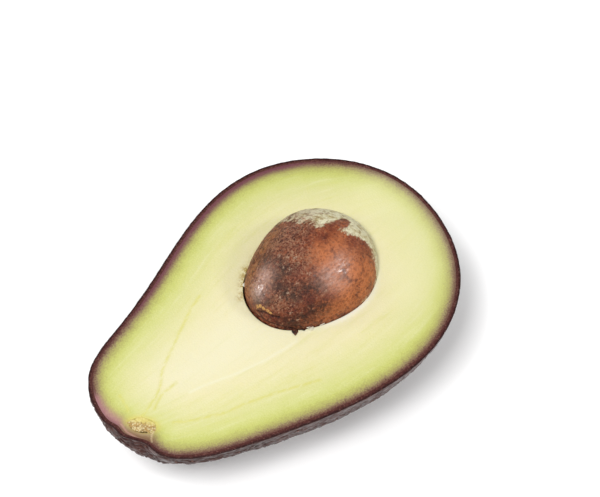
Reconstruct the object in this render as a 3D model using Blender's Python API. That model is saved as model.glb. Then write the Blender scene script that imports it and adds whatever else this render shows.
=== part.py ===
"""A halved avocado, cut lengthwise, with its whole stone sitting in the cut face.

The half lies on its back with the cut face level. Four pieces: the pebbled skin, the flesh, the stone,
and the woody stem end set in the flesh. Metres, +Z up. The origin is the middle of the small flat spot
that the skin rests on. +X runs along the fruit from its stem end to its round end.

Shapes are first written in the cut face's own frame: u along the fruit from the stem end, v across it,
w up out of the cut face. place() then moves them to the part's frame.
"""
import math

import bmesh
import bpy
from mathutils import Matrix, Vector, noise

# Driving sizes of the fruit
LENGTH = 0.100
DEPTH = 0.0318
SKIN_THICK = 0.0011
CLEARANCE = 0.0003

# Control widths from the stem end to the round end, blended along the fruit by Bernstein weights
HALF_WIDTHS = (0.0368, 0.0140, 0.0388, 0.0374, 0.0420)
SIDE_BEND = (0.0006, -0.0080, 0.0029, 0.0000, -0.0031)
HALF_DEPTHS = (0.0360, 0.0200, 0.0520, 0.0360, 0.0390)

# The knife went below the middle of the fruit, so the walls lean in this much at the rim
CUT_ANGLE = math.radians(9.0)

# The middle of the flat spot that the skin rests on, under the half's centre of mass
REST_AT = (0.0565, -0.0008)

# The dimple round the stem
DIMPLE_AT = (0.0028, -0.0088)
DIMPLE_DEPTH = 0.0021
DIMPLE_RADIUS = 0.0048

# Relief of the skin: round pebbles all over, and low ridges that run out from the stem
PEBBLE_CELL = 0.0060
PEBBLE_HEIGHT = 0.00060
RIDGE_COUNT = 9
RIDGE_HEIGHT = 0.00050
RIDGE_REACH = 0.22

# The stone, an egg with its long axis almost along the fruit
STONE_AT = (0.0639, 0.0011, 0.0)
STONE_LENGTH = 0.0354
STONE_WIDTH = 0.0293
STONE_TURN = math.radians(2.0)
STONE_TAPER = 0.15

# The stem end, a small woody button cut in half by the knife
STEM_AT = (0.0067, -0.0050)
STEM_LENGTH = 0.0062
STEM_WIDTH = 0.0036
STEM_DEPTH = 0.0026
STEM_TURN = math.radians(-50.0)

# Mesh steps along the fruit and round it
ROWS = 56
SKIN_COLUMNS = 52
INNER_COLUMNS = 18
STONE_ROWS = 18
STONE_SIDES = 24
STEM_ROWS = 5
STEM_SIDES = 14


def blend(controls, t):
    """Mixes control values from the stem end (t = 0) to the round end (t = pi)."""
    s = (1.0 - math.cos(t)) / 2.0
    last = len(controls) - 1
    weights = [math.comb(last, i) * s ** i * (1.0 - s) ** (last - i) for i in range(last + 1)]
    return sum(value * weight for value, weight in zip(controls, weights))


def smooth_body(t, phi):
    """A point of the whole fruit's smooth skin. phi turns round the fruit and is CUT_ANGLE at the rim."""
    swell = math.sin(t)
    half_width = swell * blend(HALF_WIDTHS, t) / math.cos(CUT_ANGLE)
    half_depth = swell * blend(HALF_DEPTHS, t)
    return Vector((
        LENGTH * (1.0 - math.cos(t)) / 2.0,
        swell * blend(SIDE_BEND, t) + half_width * math.cos(phi),
        half_depth * (math.sin(CUT_ANGLE) - math.sin(phi)),
    ))


def smooth_normal(t, phi):
    """The outward direction of the smooth skin, from two short steps along it."""
    step = 0.002
    if t < step:
        return Vector((-1.0, 0.0, 0.0))
    if t > math.pi - step:
        return Vector((1.0, 0.0, 0.0))
    along = smooth_body(t + step, phi) - smooth_body(t - step, phi)
    around = smooth_body(t, phi + step) - smooth_body(t, phi - step)
    return along.cross(around).normalized()


def dimple(point):
    """How far the stem's dimple pulls the skin in at this point."""
    away = (point - Vector((DIMPLE_AT[0], DIMPLE_AT[1], 0.0))).length
    return DIMPLE_DEPTH * math.exp(-(away / DIMPLE_RADIUS) ** 2)


def relief(point, t, phi):
    """Height of the pebbles and ridges, half above the smooth skin and half below it."""
    distances, _ = noise.voronoi(point / PEBBLE_CELL)
    pebble = max(0.0, 1.0 - (distances[0] / 0.75) ** 2)
    fade = math.exp(-(t / math.pi / RIDGE_REACH) ** 2) * math.sin(t)
    ridge = (0.5 + 0.5 * math.cos(2.0 * RIDGE_COUNT * phi)) * fade
    return PEBBLE_HEIGHT * (pebble - 0.5) + RIDGE_HEIGHT * (ridge - 0.5 * fade)


def surface_point(t, phi, inset, rough, on_rim):
    """A point at a depth under the skin's smooth surface, with or without the relief on it."""
    base = smooth_body(t, phi)
    offset = -inset - dimple(base)
    if rough:
        offset += relief(base, t, phi)
    point = base + smooth_normal(t, phi) * offset
    point.z = max(point.z, -DEPTH + inset)
    if on_rim:
        point.z = 0.0
    return point


def half_surface(mesh, rows, columns, inset, rough):
    """Adds one open half shell. Returns its vertices as rows between the two end points, and the ends."""
    stem_tip = mesh.verts.new(surface_point(0.0, CUT_ANGLE, inset, rough, True))
    round_tip = mesh.verts.new(surface_point(math.pi, CUT_ANGLE, inset, rough, True))
    grid = []
    for row in range(1, rows):
        t = math.pi * row / rows
        line = []
        for column in range(columns + 1):
            phi = CUT_ANGLE + (math.pi - 2.0 * CUT_ANGLE) * column / columns
            on_rim = column in (0, columns)
            line.append(mesh.verts.new(surface_point(t, phi, inset, rough, on_rim)))
        grid.append(line)
    return stem_tip, grid, round_tip


def skin_over(mesh, shell, facing_out):
    """Adds the faces of one half shell."""
    stem_tip, grid, round_tip = shell
    faces = []
    for near, far in zip(grid, grid[1:]):
        for column in range(len(near) - 1):
            faces.append((near[column], near[column + 1], far[column + 1], far[column]))
    for column in range(len(grid[0]) - 1):
        faces.append((stem_tip, grid[0][column + 1], grid[0][column]))
        faces.append((round_tip, grid[-1][column], grid[-1][column + 1]))
    for corners in faces:
        mesh.faces.new(corners if facing_out else corners[::-1])


def rim_loop(shell):
    """The shell's rim as one closed loop of vertices, starting at the stem end."""
    stem_tip, grid, round_tip = shell
    one_side = [line[0] for line in grid]
    other_side = [line[-1] for line in reversed(grid)]
    return [stem_tip] + one_side + [round_tip] + other_side


def place(mesh):
    """Moves a mesh from the cut face's frame to the part's frame, over the flat spot's middle."""
    shift = Vector((-REST_AT[0], -REST_AT[1], DEPTH))
    bmesh.ops.translate(mesh, verts=mesh.verts, vec=shift)


def add_object(name, mesh, material):
    """Turns a bmesh into a named, smooth-shaded object with its material."""
    bmesh.ops.recalc_face_normals(mesh, faces=mesh.faces)
    data = bpy.data.meshes.new(name)
    mesh.to_mesh(data)
    mesh.free()
    data.shade_smooth()
    data.set_sharp_from_angle(angle=math.radians(40.0))
    if material is not None:
        data.materials.append(material)
    item = bpy.data.objects.new(name, data)
    bpy.context.scene.collection.objects.link(item)
    return item


def make_material(name, colour, roughness):
    """A Principled material. Nothing on the fruit is metal."""
    material = bpy.data.materials.new(name)
    material.use_nodes = True
    shader = material.node_tree.nodes["Principled BSDF"]
    shader.inputs["Base Color"].default_value = (*colour, 1.0)
    shader.inputs["Roughness"].default_value = roughness
    shader.inputs["Metallic"].default_value = 0.0
    material.diffuse_color = (*colour, 1.0)
    return material


def build_skin():
    """The skin: a pebbled outside, a smooth inside, and the cut edge between them."""
    mesh = bmesh.new()
    outside = half_surface(mesh, ROWS, SKIN_COLUMNS, 0.0, True)
    inside = half_surface(mesh, ROWS, INNER_COLUMNS, SKIN_THICK, False)
    skin_over(mesh, outside, True)
    skin_over(mesh, inside, False)
    outer_rim = rim_loop(outside)
    inner_rim = rim_loop(inside)
    count = len(outer_rim)
    for i in range(count):
        after = (i + 1) % count
        mesh.faces.new((outer_rim[i], outer_rim[after], inner_rim[after], inner_rim[i]))
    place(mesh)
    return add_object("skin", mesh, make_material("skin_peel", (0.050, 0.022, 0.024), 0.38))


def build_flesh():
    """The flesh: a solid half, with the stone's hollow and the stem's socket cut into its face."""
    mesh = bmesh.new()
    shell = half_surface(mesh, ROWS // 2, INNER_COLUMNS, SKIN_THICK + CLEARANCE, False)
    skin_over(mesh, shell, True)
    mesh.faces.new(rim_loop(shell))
    place(mesh)
    flesh = add_object("flesh", mesh, make_material("ripe_flesh", (0.790, 0.760, 0.380), 0.50))
    for cutter in (stone_shape("stone_hollow", CLEARANCE, None), stem_shape("stem_socket", CLEARANCE, None)):
        cutter.hide_render = True
        cutter.display_type = "WIRE"
        cut = flesh.modifiers.new(cutter.name, "BOOLEAN")
        cut.operation = "DIFFERENCE"
        cut.object = cutter
    return flesh


def stone_shape(name, grow, material):
    """The stone's egg, or the same egg a little larger as the cutter for its hollow."""
    mesh = bmesh.new()
    bmesh.ops.create_uvsphere(mesh, u_segments=STONE_SIDES, v_segments=STONE_ROWS, radius=1.0)
    half_length = STONE_LENGTH / 2.0 + grow
    half_width = STONE_WIDTH / 2.0 + grow
    for vert in mesh.verts:
        side, rise, along = vert.co
        girth = half_width * (1.0 + STONE_TAPER * along * (1.0 - along * along))
        vert.co = Vector((along * half_length, side * girth, rise * girth))
    bmesh.ops.rotate(mesh, verts=mesh.verts, matrix=Matrix.Rotation(STONE_TURN, 3, "Z"))
    bmesh.ops.translate(mesh, verts=mesh.verts, vec=STONE_AT)
    place(mesh)
    return add_object(name, mesh, material)


def stem_shape(name, grow, material):
    """The stem's button, cut flat by the knife, or the whole larger button as the cutter for its socket."""
    mesh = bmesh.new()
    bmesh.ops.create_uvsphere(mesh, u_segments=STEM_SIDES, v_segments=STEM_ROWS * 2, radius=1.0)
    size = Vector((STEM_LENGTH / 2.0 + grow, STEM_WIDTH / 2.0 + grow, STEM_DEPTH + grow))
    bmesh.ops.scale(mesh, verts=mesh.verts, vec=size)
    if grow == 0.0:
        everything = list(mesh.verts) + list(mesh.edges) + list(mesh.faces)
        cut = bmesh.ops.bisect_plane(mesh, geom=everything, plane_co=(0, 0, 0), plane_no=(0, 0, 1), clear_outer=True)
        edges = [item for item in cut["geom_cut"] if isinstance(item, bmesh.types.BMEdge)]
        bmesh.ops.contextual_create(mesh, geom=edges)
    bmesh.ops.rotate(mesh, verts=mesh.verts, matrix=Matrix.Rotation(STEM_TURN, 3, "Z"))
    bmesh.ops.translate(mesh, verts=mesh.verts, vec=(STEM_AT[0], STEM_AT[1], 0.0))
    place(mesh)
    return add_object(name, mesh, material)


def build():
    """Clears the scene and makes the four pieces."""
    for item in list(bpy.data.objects):
        bpy.data.objects.remove(item, do_unlink=True)
    build_skin()
    build_flesh()
    stone_shape("stone", 0.0, make_material("stone_coat", (0.300, 0.120, 0.050), 0.45))
    stem_shape("stem_end", 0.0, make_material("stem_wood", (0.450, 0.330, 0.180), 0.80))


build()
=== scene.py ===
# %% [markdown]
# # A halved avocado
# A ripe avocado was cut lengthwise, and this half still holds its whole stone. Four things make it:
# a thin pebbled skin, buttery flesh, the stone in its papery coat, and the woody end of the stem.
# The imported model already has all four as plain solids, which give the sizes. This lesson makes a
# finer piece for each of them, then the small things that no solid needs, such as fibres and specks.

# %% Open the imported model
import math

import bmesh
import bpy
import numpy as np
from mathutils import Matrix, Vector


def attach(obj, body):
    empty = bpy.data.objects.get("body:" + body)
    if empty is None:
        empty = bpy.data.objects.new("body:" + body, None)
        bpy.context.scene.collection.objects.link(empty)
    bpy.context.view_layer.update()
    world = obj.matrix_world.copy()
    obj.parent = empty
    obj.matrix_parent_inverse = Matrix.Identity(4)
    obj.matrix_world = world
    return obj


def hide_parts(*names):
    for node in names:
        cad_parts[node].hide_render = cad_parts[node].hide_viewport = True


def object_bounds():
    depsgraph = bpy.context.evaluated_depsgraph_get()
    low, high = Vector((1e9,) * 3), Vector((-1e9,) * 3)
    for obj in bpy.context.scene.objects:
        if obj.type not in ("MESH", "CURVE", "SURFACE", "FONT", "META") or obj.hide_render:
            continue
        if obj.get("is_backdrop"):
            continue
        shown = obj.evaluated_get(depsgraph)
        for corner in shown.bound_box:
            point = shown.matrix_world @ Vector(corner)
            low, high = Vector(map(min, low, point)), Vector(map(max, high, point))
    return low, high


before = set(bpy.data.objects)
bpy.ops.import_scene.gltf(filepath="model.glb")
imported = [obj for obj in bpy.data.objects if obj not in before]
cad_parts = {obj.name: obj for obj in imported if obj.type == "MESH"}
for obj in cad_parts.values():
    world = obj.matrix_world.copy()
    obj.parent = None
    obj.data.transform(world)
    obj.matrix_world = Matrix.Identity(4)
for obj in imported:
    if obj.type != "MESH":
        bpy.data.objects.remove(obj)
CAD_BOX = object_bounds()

MM = 0.001
print("solids:", sorted(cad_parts))
print("their box, mm:", [[round(c / MM, 1) for c in corner] for corner in CAD_BOX])

# %% [markdown]
# ## The shape of the fruit
# An avocado is a pear-shaped egg. Its half widths and half depths change along the fruit, so a few
# control values are blended from the stem end to the round end, in the same way as a Bezier curve.
# These are the values of the solids. Everything else below is worked out from them, in the frame
# of the cut face: u runs along the fruit, v across it, and w stands up out of the face.

# %% The driving sizes, the same as those of the solids
LENGTH = 0.100
DEPTH = 0.0318
SKIN_THICK = 0.0011
HALF_WIDTHS = (0.0368, 0.0140, 0.0388, 0.0374, 0.0420)
SIDE_BEND = (0.0006, -0.0080, 0.0029, 0.0000, -0.0031)
HALF_DEPTHS = (0.0360, 0.0200, 0.0520, 0.0360, 0.0390)
CUT_ANGLE = math.radians(9.0)
REST_AT = (0.0565, -0.0008)
DIMPLE_AT = (0.0028, -0.0088)
DIMPLE_DEPTH = 0.0021
DIMPLE_RADIUS = 0.0048
RIDGE_COUNT = 9
RIDGE_HEIGHT = 0.00050
RIDGE_REACH = 0.22
STONE_AT = (0.0639, 0.0011)
STONE_LENGTH = 0.0354
STONE_WIDTH = 0.0293
STONE_TURN = math.radians(2.0)
STONE_TAPER = 0.15
STEM_AT = (0.0067, -0.0050)
STEM_LENGTH = 0.0062
STEM_WIDTH = 0.0036
STEM_DEPTH = 0.0026
STEM_TURN = math.radians(-50.0)
NOTCHES = (((0.0008, -0.0014), 0.0009, 0.0020), ((0.0043, -0.0100), 0.0009, 0.0018))
print("fruit and stone, mm:", LENGTH / MM, "and", STONE_LENGTH / MM, "long")


# %% The fruit's body as a formula
def blend(controls, t):
    """Mixes control values from the stem end (t = 0) to the round end (t = pi)."""
    share = (1.0 - np.cos(t)) / 2.0
    last = len(controls) - 1
    weights = [math.comb(last, i) * share ** i * (1.0 - share) ** (last - i) for i in range(last + 1)]
    return sum(value * weight for value, weight in zip(controls, weights))


def body(t, phi):
    """Points of the whole fruit's smooth skin. phi turns round the fruit and is CUT_ANGLE at the rim."""
    swell = np.sin(t)
    half_width = swell * blend(HALF_WIDTHS, t) / math.cos(CUT_ANGLE)
    half_depth = swell * blend(HALF_DEPTHS, t)
    u = LENGTH * (1.0 - np.cos(t)) / 2.0 + 0.0 * phi
    v = swell * blend(SIDE_BEND, t) + half_width * np.cos(phi)
    w = half_depth * (math.sin(CUT_ANGLE) - np.sin(phi))
    return np.stack(np.broadcast_arrays(u, v, w), axis=-1)


def outward(t, phi):
    """The outward direction of the smooth skin, straight along the fruit at its two ends."""
    step = 0.002
    inner = np.clip(t, step, math.pi - step)
    along = body(inner + step, phi) - body(inner - step, phi)
    around = body(inner, phi + step) - body(inner, phi - step)
    normal = np.cross(along, around)
    normal /= np.linalg.norm(normal, axis=-1, keepdims=True)
    ends = np.broadcast_to((t < step) | (t > math.pi - step), normal.shape[:-1])
    normal[ends] = np.stack([np.where(t < 1.0, -1.0, 1.0) + 0.0 * phi] + [0.0 * phi * t] * 2, axis=-1)[ends]
    return normal


def shell(t, phi, inset):
    """Points at a depth under the smooth skin, pulled in at the stem's dimple and flat underneath."""
    points = body(t, phi)
    away = np.linalg.norm(points - (*DIMPLE_AT, 0.0), axis=-1)
    pull = DIMPLE_DEPTH * np.exp(-(away / DIMPLE_RADIUS) ** 2)
    for place, depth, radius in NOTCHES:
        pull = pull + depth * np.exp(-(np.linalg.norm(points - (*place, 0.0), axis=-1) / radius) ** 2)
    points = points - outward(t, phi) * (inset + pull)[..., None]
    points[..., 2] = np.maximum(points[..., 2], inset - DEPTH)
    return points


def to_part(points):
    """From the frame of the cut face to the part's own frame, whose origin is under the fruit."""
    return np.asarray(points) + (-REST_AT[0], -REST_AT[1], DEPTH)


tip, end = (to_part(shell(np.array([t]), np.array([CUT_ANGLE]), np.zeros(1)))[0] for t in (0.0, math.pi))
print("stem tip and round end, mm:", np.round(tip / MM, 2), np.round(end / MM, 2))

# %% [markdown]
# ## The camera
# The photographer stood a little in front of the fruit and looked down on the cut face, 30 degrees
# off the straight view, from more than half a metre away. A long lens keeps the shape undistorted.


# %% Camera
def add_object(name, data):
    """A new object of the scene."""
    item = bpy.data.objects.new(name, data)
    bpy.context.scene.collection.objects.link(item)
    return item


def look_back(item, middle, direction, away):
    """Puts a camera or a lamp this far from a place and turns it to look at that place."""
    towards = Vector(direction).normalized()
    item.location = middle + towards * away
    item.rotation_euler = towards.to_track_quat("Z", "Y").to_euler()


AIM = Vector(to_part((0.06659, 0.0082, 0.0)))
TOWARDS_CAMERA = (-0.3207, -0.3836, 0.8660)
CAMERA_AWAY = 0.5813
camera_data = bpy.data.cameras.new("camera")
camera_data.sensor_width = 36.0
camera_data.lens = 140.4
camera = add_object("camera", camera_data)
look_back(camera, AIM, TOWARDS_CAMERA, CAMERA_AWAY)
bpy.context.scene.camera = camera
print("camera at", tuple(round(c, 3) for c in camera.location))

# %% [markdown]
# ## The light
# The fruit lies on a white table in a bright studio. The table has more light than a picture can
# show, which hides the outer part of every shadow and leaves only the dark part under the fruit. The
# main lamp hangs overhead, a little to the left, and a wide one behind softens its shadow. Two small
# ones at the sides make the shiny places on the stone, and a low one in front lights the skin under
# the rim. A white sky fills the rest. The first number is how much brighter than white paper the cut
# face is lit, and all colours below are kept as they look in this light.


# %% Lamps, sky and floor
LIGHT_LEVEL = 1.43
SKY_LEVEL = 0.50
LAMP_AIM = Vector((0.0, 0.0, 0.02))
# Each lamp has a name, a direction, how far away and how wide it is in metres, and its watts.
LAMPS = (
    ("main_lamp", (-0.37, -0.16, 0.92), 0.9, 0.22, 5.25),
    ("back_lamp", (-0.15, 0.45, 0.88), 0.9, 0.50, 0.9),
    ("right_lamp", (0.503, -0.554, 0.664), 0.8, 0.13, 1.4),
    ("left_lamp", (-0.80, 0.62, 0.22), 0.8, 0.12, 1.3),
    ("front_lamp", (-0.35, -0.86, 0.36), 0.8, 0.25, 0.45))
FLOOR_HALF = 2.0
FLOOR_DROP = 0.00005

for name, direction, away, width, watts in LAMPS:
    lamp = bpy.data.lights.new(name, "AREA")
    lamp.shape = "SQUARE"
    lamp.size = width
    lamp.energy = watts
    look_back(add_object(name, lamp), LAMP_AIM, direction, away)

world = bpy.data.worlds.new("studio")
world.use_nodes = True
sky = world.node_tree.nodes["Background"].inputs
sky["Color"].default_value = (1.0, 1.0, 1.0, 1.0)
sky["Strength"].default_value = SKY_LEVEL
bpy.context.scene.world = world
bpy.context.scene.view_settings.view_transform = "Standard"

floor_data = bpy.data.meshes.new("floor")
corners = [(x * FLOOR_HALF, y * FLOOR_HALF, -FLOOR_DROP) for x, y in ((-1, -1), (1, -1), (1, 1), (-1, 1))]
floor_data.from_pydata(corners, [], [(0, 1, 2, 3)])
floor = add_object("floor", floor_data)
paper = bpy.data.materials.new("white_table")
paper.use_nodes = True
paper_shader = paper.node_tree.nodes["Principled BSDF"]
paper_shader.inputs["Base Color"].default_value = (0.97, 0.97, 0.97, 1.0)
paper_shader.inputs["Roughness"].default_value = 0.9
floor_data.materials.append(paper)
floor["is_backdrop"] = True

# %% [markdown]
# ## Writing node trees as sums
# Both the finishes and the Geometry Nodes below are trees of nodes. Arithmetic on a Wire adds the
# Math nodes for it, so that a tree reads like a formula, and node() adds every other kind of node.


# %% A wire that does arithmetic
class Wire:
    """One output socket of a node, or the start of a tree when it has no socket yet."""

    def __init__(self, tree, socket=None):
        self.tree = tree
        self.socket = socket

    def node(self, kind, settings=None, inputs=None, out=0):
        """Adds a node: first its settings, then a value or a wire for each named or numbered socket."""
        made = self.tree.nodes.new(kind)
        for name, value in (settings or {}).items():
            if name == "stops":
                fill_ramp(made.color_ramp, value)
            else:
                setattr(made, name, value)
        for key, value in (inputs or {}).items():
            if isinstance(value, Wire):
                self.tree.links.new(value.socket, made.inputs[key])
            else:
                made.inputs[key].default_value = value
        return Wire(self.tree, made.outputs[out])

    def math(self, operation, *values):
        return self.node("ShaderNodeMath", {"operation": operation}, dict(enumerate(values)))

    def vector(self, operation, inputs):
        return self.node("ShaderNodeVectorMath", {"operation": operation}, inputs)


def arithmetic(operation):
    """The two methods of a Wire for one sign: with the wire before it, and with the wire after it."""
    return (lambda wire, other: wire.math(operation, wire, other),
            lambda wire, other: wire.math(operation, other, wire))


Wire.__add__, Wire.__radd__ = arithmetic("ADD")
Wire.__sub__, Wire.__rsub__ = arithmetic("SUBTRACT")
Wire.__mul__, Wire.__rmul__ = arithmetic("MULTIPLY")
Wire.__truediv__, Wire.__rtruediv__ = arithmetic("DIVIDE")


def fill_ramp(ramp, stops):
    """Sets a ramp's stops from pairs of position and colour."""
    while len(ramp.elements) < len(stops):
        ramp.elements.new(0.5)
    for element, (position, colour) in zip(ramp.elements, stops):
        element.position = position
        element.color = colour


def rise(value, low, high):
    """0 below low, 1 above high, and a smooth step between them."""
    return value.node("ShaderNodeMapRange", {"interpolation_type": "SMOOTHSTEP"}, {0: value, 1: low, 2: high})


def grain(place, size, detail=2.0, rough=0.5, out=0):
    """Cloudy noise from 0 to 1 whose blots are about as large as size, in metres."""
    return place.node("ShaderNodeTexNoise", None, {
        "Vector": place, "Scale": 1.0 / size, "Detail": detail, "Roughness": rough}, out)


def cells(place, size, feature="F1"):
    """Distance to the middle of a cell, or to its edge, in parts of the cell's size."""
    return place.node("ShaderNodeTexVoronoi", {"feature": feature}, {"Vector": place, "Scale": 1.0 / size})


def mix(factor, one, other):
    """One colour where the factor is 0, and the other where it is 1."""
    start = next(value for value in (factor, one, other) if isinstance(value, Wire))
    return start.node("ShaderNodeMix", {"data_type": "RGBA"}, {0: factor, 6: one, 7: other}, 2)


def stretch(place, along):
    """Place scaled along the fruit. Below 1, it makes a pattern longer in that direction."""
    return place.vector("MULTIPLY", {0: place, 1: (along, 1.0, 1.0)})


def split(place):
    """The x, y and z of a place, each as a wire."""
    parts = place.node("ShaderNodeSeparateXYZ", None, {0: place}).socket.node
    return [Wire(place.tree, parts.outputs[axis]) for axis in "XYZ"]


def paint(red, green, blue):
    """From a colour on the screen, 0 to 255, to the linear colour that a shader takes in this light."""
    return tuple(((c / 255.0 + 0.055) / 1.055) ** 2.4 / LIGHT_LEVEL for c in (red, green, blue)) + (1.0,)


def layers(colour, rows):
    """Lays colours over a first one, each a row of a mask from 0 to 1 and the colour on the screen."""
    for mask, shade in rows:
        colour = mix(mask, colour, paint(*shade))
    return colour


print("white paper in this light is painted", round(paint(255, 255, 255)[0], 3))

# %% [markdown]
# ## From arrays to a piece
# Each main piece is first a grid of points, worked out with numpy. Where a grid closes on itself or
# shrinks to a point, its points are joined, so that every piece is one closed surface without seams.


# %% Helpers that make and finish a piece
def weld(points, faces):
    """Joins points that share a place. Gives which points stay, and the faces without empty corners."""
    keys = np.round(points / 2e-8).astype(np.int64)
    _, kept, where = np.unique(keys, axis=0, return_index=True, return_inverse=True)
    where = where.reshape(-1)
    joined = [tuple(dict.fromkeys(face)) for face in where[np.asarray(faces)].tolist()]
    return kept, [face for face in joined if len(face) > 2]


def volume(points, faces):
    """Six times the volume inside a closed surface, below zero where it is inside out."""
    triangles = [face[:3] for face in faces]
    triangles += [(face[0], face[2], face[3]) for face in faces if len(face) > 3]
    a, b, c = (points[np.array(triangles)[:, i]] for i in range(3))
    return float(np.einsum("ij,ij->i", a, np.cross(b, c)).sum())


def make_piece(name, points, faces, marks=None):
    """A smooth-shaded object from face-frame points. Marks are numbers or vectors kept on its points."""
    kept, faces = weld(points, faces)
    points = to_part(points[kept])
    if volume(points, faces) < 0.0:
        faces = [face[::-1] for face in faces]
    data = bpy.data.meshes.new(name)
    data.from_pydata(points.tolist(), [], faces)
    for label, values in (marks or {}).items():
        values = np.asarray(values, dtype=np.float32)[kept]
        kind, slot = ("FLOAT", "value") if values.ndim == 1 else ("FLOAT_VECTOR", "vector")
        data.attributes.new(label, kind, "POINT").data.foreach_set(slot, values.ravel())
    data.shade_smooth()
    return add_object(name, data)


def ring_faces(rings, count):
    """Quads between closed rings of points that follow each other in one array."""
    index = np.arange(rings * count).reshape(rings, count)
    after = np.roll(index, -1, axis=1)
    return np.stack([index[:-1], after[:-1], after[1:], index[1:]], axis=-1).reshape(-1, 4)


def ring_piece(name, grid, marks):
    """A piece from closed rings of points, one for each row. Each mark is spread over the whole grid."""
    spread = {}
    for label, values in marks.items():
        values = np.broadcast_to(values, grid.shape[:2] + values.shape[2:])
        spread[label] = values.reshape(-1, *values.shape[2:])
    return make_piece(name, grid.reshape(-1, 3), ring_faces(*grid.shape[:2]), spread)


def new_tree(name, sizes):
    """A Geometry Nodes tree. Gives wires for its geometry, the place of a point and each named size."""
    tree = bpy.data.node_groups.new(name, "GeometryNodeTree")
    tree.interface.new_socket("Geometry", in_out="INPUT", socket_type="NodeSocketGeometry")
    for label in sizes:
        tree.interface.new_socket(label, in_out="INPUT", socket_type="NodeSocketFloat")
    tree.interface.new_socket("Geometry", in_out="OUTPUT", socket_type="NodeSocketGeometry")
    entry = tree.nodes.new("NodeGroupInput")
    wires = [Wire(tree, entry.outputs[label]) for label in ("Geometry", *sizes)]
    return wires[0], wires[0].node("GeometryNodeInputPosition"), *wires[1:]


def shifted(geometry, move):
    """The geometry with each point moved by this much."""
    return geometry.node("GeometryNodeSetPosition", None, {"Geometry": geometry, "Offset": move})


def end_tree(geometry, material):
    """Finishes a tree: real copies, the material, and the output."""
    real = geometry.node("GeometryNodeRealizeInstances", None, {"Geometry": geometry})
    real.node("GeometryNodeSetMaterial", None, {"Geometry": real, "Material": material})
    last = real.tree.nodes[-1]
    real.tree.links.new(last.outputs[0], real.tree.nodes.new("NodeGroupOutput").inputs[0])
    return real.tree


def run_tree(item, tree, values):
    """Runs a tree on an object with these sizes and gives the result as a plain, smooth mesh."""
    modifier = item.modifiers.new(tree.name, "NODES")
    modifier.node_group = tree
    for socket in tree.interface.items_tree:
        if socket.in_out == "INPUT" and socket.name in values:
            modifier[socket.identifier] = values[socket.name]
    graph = bpy.context.evaluated_depsgraph_get()
    made = bpy.data.meshes.new_from_object(
        item.evaluated_get(graph), preserve_all_data_layers=True, depsgraph=graph)
    item.modifiers.remove(modifier)
    made.shade_smooth()
    return made


def named(wire, label, kind="FLOAT"):
    """In a Geometry Nodes tree, a mark that was kept on the points."""
    return wire.node("GeometryNodeInputNamedAttribute", {"data_type": kind}, {"Name": label})


def mark(wire, label, out="Fac"):
    """In a finish, a mark that was kept on the points."""
    return wire.node("ShaderNodeAttribute", {"attribute_name": label}, None, out)


def new_finish(name, roughness, sockets=None):
    """A Principled finish with these plain values. Gives the material, its shader node and the place."""
    material = bpy.data.materials.new(name)
    material.use_nodes = True
    shader = material.node_tree.nodes["Principled BSDF"]
    shader.inputs["Roughness"].default_value = roughness
    for label, value in (sockets or {}).items():
        shader.inputs[label].default_value = value
    place = Wire(material.node_tree).node("ShaderNodeTexCoord", None, None, "Object")
    return material, shader, place


def feed(shader, socket, wire):
    """Leads a wire into one of the shader's sockets."""
    wire.tree.links.new(wire.socket, shader.inputs[socket])


def bump(height, depth, strength):
    """A Bump node for a height from 0 to 1 that stands for a real depth in metres."""
    return height.node("ShaderNodeBump", None, {"Strength": strength, "Distance": depth, "Height": height})


def tell_nodes(material):
    print(material.name, "has", len(material.node_tree.nodes), "nodes")


def settle(item, node_name):
    """Gives a finished piece to the body that carries it and hides its solid, if it stands for one."""
    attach(item, "root")
    if node_name:
        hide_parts(node_name)
    print(item.name, "has", sum(len(face.vertices) - 2 for face in item.data.polygons), "triangles")


# %% [markdown]
# ## The cut face
# The knife leaves an almost flat face, but soft flesh springs back a little unevenly. Round the stem
# the knife opened the hollow that the stem sat in, so the face falls away there towards the skin.
# One function gives the height of the face, and both the skin's edge and the flesh follow it.

# %% The height of the cut face
HOLLOW_LINE = np.array(((3.0, -3.6), (4.2, -6.4), (6.2, -8.6))) * MM
HOLLOW_DEPTH = 0.0006
HOLLOW_RADIUS = 0.0012
SWELLING = 0.00012


def distance_to(points, line):
    """Shortest distance in the cut face from points to a line of straight runs."""
    flat = points[..., :2]
    best = np.full(flat.shape[:-1], np.inf)
    for start, stop in zip(line, line[1:]):
        run = stop - start
        part = np.clip(((flat - start) @ run) / (run @ run), 0.0, 1.0)
        best = np.minimum(best, np.linalg.norm(flat - start - part[..., None] * run, axis=-1))
    return best


def face_height(points):
    """Height of the cut face over its flat plane, from its slow swelling and the stem's hollow."""
    u, v = points[..., 0], points[..., 1]
    slow = np.sin(u / 0.011 + 1.0) * np.cos(v / 0.009) + 0.6 * np.sin(u / 0.0063 - v / 0.0087)
    hollow = np.exp(-(distance_to(points, HOLLOW_LINE) / HOLLOW_RADIUS) ** 2.0)
    return SWELLING * slow - HOLLOW_DEPTH * hollow


print("deepest place of the stem's hollow, mm:", round(float(face_height(HOLLOW_LINE[1]) / MM), 2))

# %% [markdown]
# ## The skin
# The skin is a leathery shell about a millimetre thick, with pebbles all over and low ridges that
# run out from the stem. A sculptor would carve them, and a bump map would fake them, but pebbles
# follow a rule, so Geometry Nodes raise them from cells of noise. First comes the smooth shell:
# rings that go down round the outside, across the cut edge and back along the inside.

# %% The smooth shell of the skin
SKIN_ROWS = 330
SKIN_COLUMNS = 240
INSIDE_COLUMNS = 12
EDGE_STEPS = np.array((0.07, 0.35, 0.75)) * MM
EDGE_ROUND = 0.00010
RIM_CALM = 0.22
RIM_REACH = 0.14


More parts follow.
